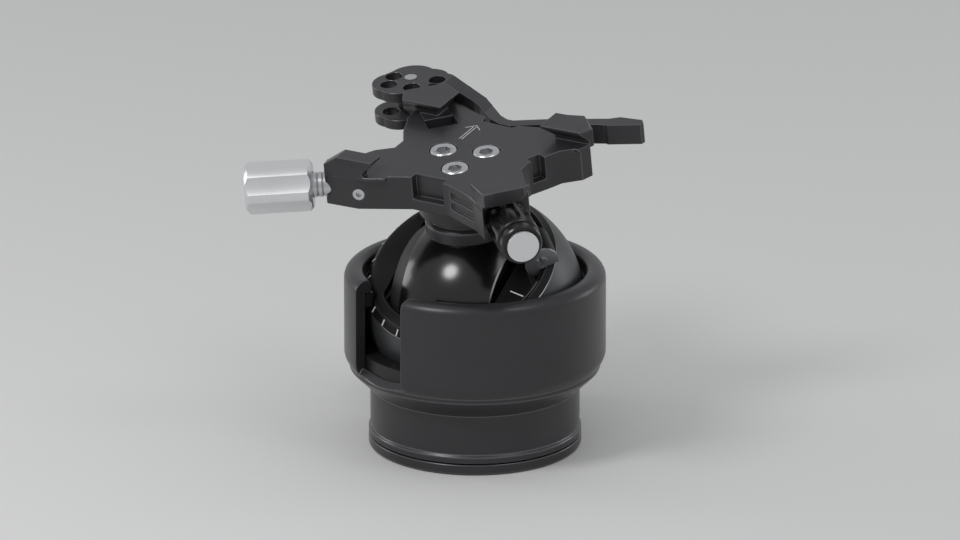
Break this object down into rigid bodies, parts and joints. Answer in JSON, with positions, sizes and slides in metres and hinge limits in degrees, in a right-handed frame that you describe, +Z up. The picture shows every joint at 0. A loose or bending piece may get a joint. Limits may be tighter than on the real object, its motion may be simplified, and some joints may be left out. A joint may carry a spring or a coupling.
{
  "type": "ball head",
  "caption": "Camera ball head with a levelling ball, a second ball that tilts inside it, a panning foot and a cross-shaped lever clamp with two knobs, for long lenses.",
  "frame": {"origin": "Centre of the tripod socket in the bottom face that rests on the tripod.", "axes": "+Z runs up the pan axis, +Y is the way the lens points at rest, +X is the tilt axis towards the head's right side."},
  "size_m": [0.1045, 0.1033, 0.104],
  "materials": {
    "body_black": "matte black hard-anodised aluminium",
    "ball_satin": "satin grey anodised aluminium, turned",
    "ball_gloss": "polished black anodised aluminium",
    "yoke_black": "fine matte black anodised aluminium",
    "liner_black": "black acetal, moulded and turned",
    "knob_silver": "clear anodised aluminium, bead blasted",
    "knob_black": "black anodised aluminium, fluted",
    "steel": "turned stainless steel",
    "dark_steel": "plain machined steel",
    "bronze": "sintered bronze",
    "washer_white": "white bearing plastic"
  },
  "bodies": {
    "base": {"foot_disc": "body_black", "tripod_insert": "steel", "pan_spindle": "steel", "keeper_ring": "steel", "foot_screws": "dark_steel", "lower_race": "washer_white", "upper_race": "washer_white"},
    "housing": {"housing": "body_black", "ball_seat": "liner_black", "retaining_ring": "liner_black"},
    "ball_lock": {"ball_lock_knob": "knob_black", "ball_lock_screw": "dark_steel"},
    "lock_shoe": {"lock_shoe": "bronze"},
    "pan_lock": {"pan_lock_knob": "knob_black", "pan_lock_screw": "dark_steel"},
    "pan_pad": {"pan_pad": "bronze"},
    "outer_ball": {"outer_ball": "ball_satin", "scale_ring": "yoke_black"},
    "yoke": {"yoke": "yoke_black", "cap_ring": "yoke_black", "cap_screws": "steel", "axle_bushes": "bronze", "lock_sleeve": "yoke_black", "lock_washer": "steel"},
    "tilt_lock": {"tilt_lock_screw": "steel"},
    "head": {"inner_ball": "ball_gloss", "side_disc": "ball_satin", "tilt_axle": "dark_steel", "balance_springs": "dark_steel", "neck": "body_black", "neck_bolt": "dark_steel", "clamp_body": "body_black", "plate_screws": "steel", "side_pin": "steel"},
    "jaw": {"sliding_jaw": "body_black", "lever_pin": "steel"},
    "lever": {"clamp_lever": "body_black"},
    "width_knob": {"width_knob": "knob_silver", "width_screw": "steel"},
    "tension_knob": {"tension_knob": "knob_black", "tension_cap": "knob_silver", "tension_screw": "dark_steel"}
  },
  "joints": [
    {"name": "pan", "type": "hinge", "parent": "base", "child": "housing", "pos_m": [0, 0, 0], "axis": [0, 0, 1], "continuous": true},
    {"name": "ball_tilt", "type": "hinge", "parent": "housing", "child": "outer_ball", "pos_m": [0, 0, 0.045], "axis": [1, 0, 0], "range_deg": [-33.6, 5]},
    {"name": "top_pan", "type": "hinge", "parent": "outer_ball", "child": "yoke", "pos_m": [0, 0, 0.045], "axis": [0, -0.5534, 0.8329], "range_deg": [-12, 45]},
    {"name": "head_tilt", "type": "hinge", "parent": "yoke", "child": "head", "pos_m": [0, 0, 0.045], "axis": [1, 0, 0], "range_deg": [-3.5, 27]},
    {"name": "tilt_lock_turn", "type": "hinge", "parent": "yoke", "child": "tilt_lock", "pos_m": [0.0266, -0.00552, 0.06378], "axis": [-0.6947, 0.5992, 0.3981], "range_deg": [0, 90]},
    {"name": "ball_lock_turn", "type": "hinge", "parent": "housing", "child": "ball_lock", "pos_m": [-0.02215, 0.03686, 0.036], "axis": [0.515, -0.8572, 0], "range_deg": [0, 120]},
    {"name": "shoe_slide", "type": "slide", "parent": "housing", "child": "lock_shoe", "axis": [0.515, -0.8572, 0], "range_m": [0, 0.0004]},
    {"name": "pan_lock_turn", "type": "hinge", "parent": "housing", "child": "pan_lock", "pos_m": [-0.00501, 0.03565, 0.0092], "axis": [0.1392, -0.9903, 0], "range_deg": [0, 120]},
    {"name": "pad_slide", "type": "slide", "parent": "housing", "child": "pan_pad", "axis": [0.1392, -0.9903, 0], "range_m": [0, 0.0002]},
    {"name": "jaw_slide", "type": "slide", "parent": "head", "child": "jaw", "axis": [-0.7071, 0.6978, 0.1143], "range_m": [0, 0.003]},
    {"name": "lever_swing", "type": "hinge", "parent": "jaw", "child": "lever", "pos_m": [-0.038, 0.02616, 0.09691], "axis": [0, -0.1616, 0.9869], "range_deg": [0, 75]},
    {"name": "width_knob_turn", "type": "hinge", "parent": "head", "child": "width_knob", "pos_m": [-0.03535, -0.02742, 0.08398], "axis": [-0.8746, -0.4784, -0.0783], "continuous": true},
    {"name": "tension_knob_turn", "type": "hinge", "parent": "head", "child": "tension_knob", "pos_m": [0.03196, -0.03101, 0.08208], "axis": [0.7071, -0.6978, -0.1143], "continuous": true}
  ],
  "couplings": [
    {"joint": "lever_swing", "follows": "jaw_slide", "rad_per_m": 436.33},
    {"joint": "ball_lock_turn", "follows": "shoe_slide", "rad_per_m": 5236},
    {"joint": "pan_lock_turn", "follows": "pad_slide", "rad_per_m": 10472}
  ]
}
